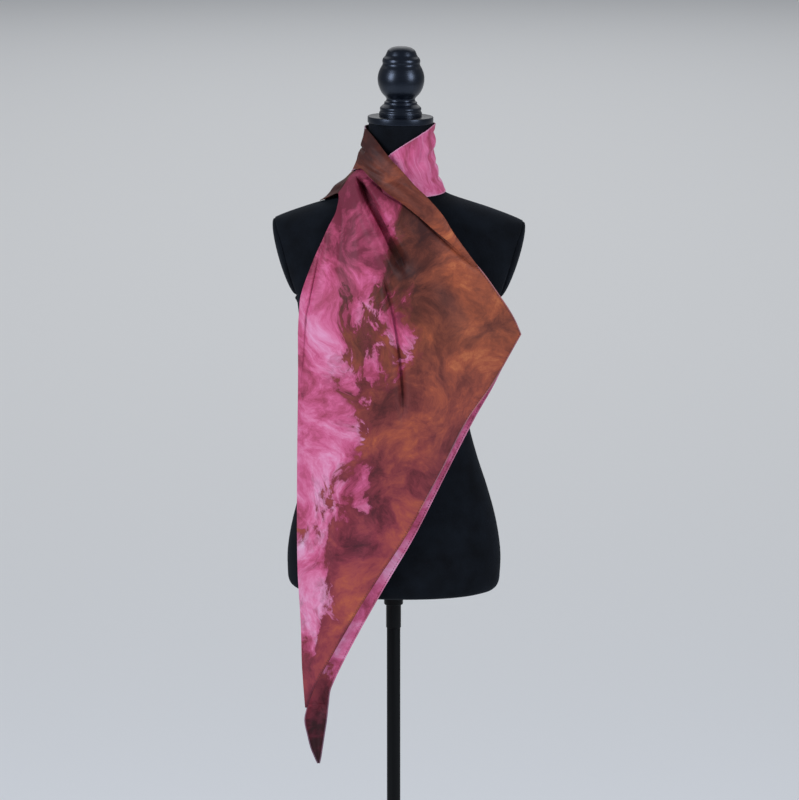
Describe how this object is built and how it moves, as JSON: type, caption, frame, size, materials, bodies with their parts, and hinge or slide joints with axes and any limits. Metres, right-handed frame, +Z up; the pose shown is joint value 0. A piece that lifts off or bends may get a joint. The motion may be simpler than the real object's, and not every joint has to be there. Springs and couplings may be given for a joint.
{
  "type": "silk square scarf on a dress form",
  "caption": "Hand-dyed silk square folded on the diagonal, wound round the neck of a limbless black dress form and hung down its front, on a pole stand with a round base",
  "frame": {"origin": "on the floor, at the middle of the underside of the base, under the pole", "axes": "+Z up, the front of the form faces -Y, and +X is the right of the picture"},
  "size_m": [0.3933, 0.3, 1.6347],
  "materials": {
    "silk_brown": "silk twill, hand dyed in russet brown with pink and orange, soft sheen",
    "silk_pink": "silk twill, hand dyed in pink, soft sheen",
    "black_jersey": "matt cotton jersey, stretched over the form",
    "lacquered_wood": "turned wood, black satin lacquer",
    "black_enamel": "satin black stove enamel on steel"
  },
  "bodies": {
    "stand": {"base_plate": "black_enamel", "base_hub": "black_enamel", "pole_lower": "black_enamel", "pole_upper": "black_enamel"},
    "collar": {"pole_collar": "black_enamel", "set_screw": "black_enamel"},
    "form": {"form_torso": "black_jersey", "arm_plate_left": "black_jersey", "arm_plate_right": "black_jersey", "neck_cap": "lacquered_wood", "finial": "lacquered_wood", "neck_wrap_right": "silk_pink", "neck_wrap_back": "silk_brown", "neck_wrap_left": "silk_brown", "collar_fold": "silk_brown", "front_panel": "silk_brown", "rear_panel": "silk_pink", "scarf_tip": "silk_brown", "shoulder_fall": "silk_brown"}
  },
  "joints": [
    {"name": "height", "type": "slide", "parent": "stand", "child": "collar", "axis": [0, 0, 1], "range_m": [-0.035, 0.2]},
    {"name": "swivel", "type": "hinge", "parent": "collar", "child": "form", "pos_m": [0, 0, 0.778], "axis": [0, 0, 1], "continuous": true}
  ]
}
